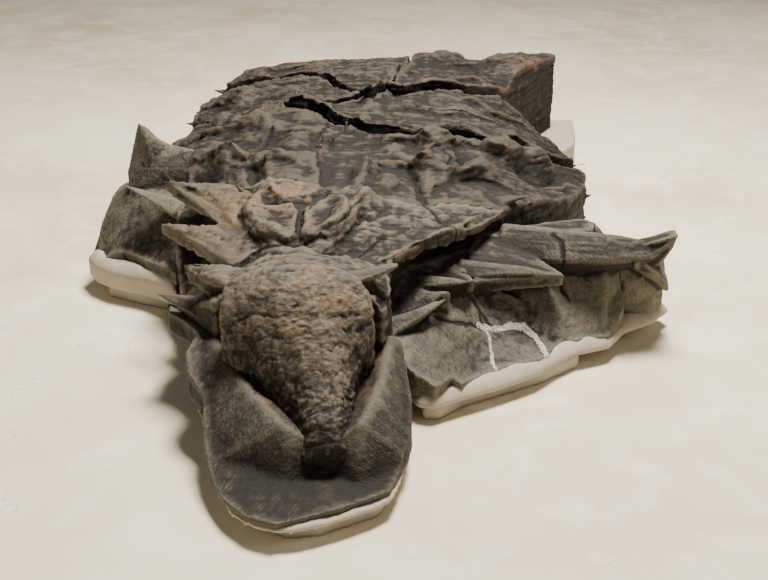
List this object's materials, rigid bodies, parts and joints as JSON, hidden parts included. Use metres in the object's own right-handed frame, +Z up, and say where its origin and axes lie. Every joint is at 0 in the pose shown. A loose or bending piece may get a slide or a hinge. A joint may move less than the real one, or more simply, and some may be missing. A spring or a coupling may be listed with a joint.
{
  "type": "armoured dinosaur fossil, front half",
  "caption": "Front half of a fossil armoured dinosaur, skull to hips with shoulder spines, lying in its grey rock on white plaster jackets and low supports.",
  "frame": {"origin": "centre of the outline on the floor, at floor level", "axes": "+X towards the picture's right, +Y from the snout to the hips, +Z up"},
  "size_m": [1.734, 2.807, 0.504],
  "materials": {
    "skull": "rough fossil rock",
    "snout_rock": "rough fossil rock",
    "neck": "rough fossil rock",
    "right_shoulder": "rough fossil rock",
    "left_wing": "rough fossil rock",
    "trunk_front": "rough fossil rock",
    "trunk_middle": "rough fossil rock",
    "trunk_left": "rough fossil rock",
    "trunk_back": "rough fossil rock",
    "hip": "rough fossil rock",
    "stand_tray_snout": "matte plaster",
    "stand_tray_shoulder": "matte plaster",
    "stand_tray_wing": "matte plaster",
    "stand_tray_trunk": "matte plaster",
    "stand_support_snout": "matte plaster",
    "stand_support_shoulder": "matte plaster",
    "stand_support_wing": "matte plaster",
    "stand_support_trunk": "matte plaster",
    "stand_plinth": "matte plaster"
  },
  "bodies": {
    "root": {"skull": "skull", "snout_rock": "snout_rock", "neck": "neck", "right_shoulder": "right_shoulder", "left_wing": "left_wing", "trunk_front": "trunk_front", "trunk_middle": "trunk_middle", "trunk_left": "trunk_left", "trunk_back": "trunk_back", "hip": "hip", "stand_tray_snout": "stand_tray_snout", "stand_tray_shoulder": "stand_tray_shoulder", "stand_tray_wing": "stand_tray_wing", "stand_tray_trunk": "stand_tray_trunk", "stand_support_snout": "stand_support_snout", "stand_support_shoulder": "stand_support_shoulder", "stand_support_wing": "stand_support_wing", "stand_support_trunk": "stand_support_trunk", "stand_plinth": "stand_plinth"}
  },
  "joints": []
}
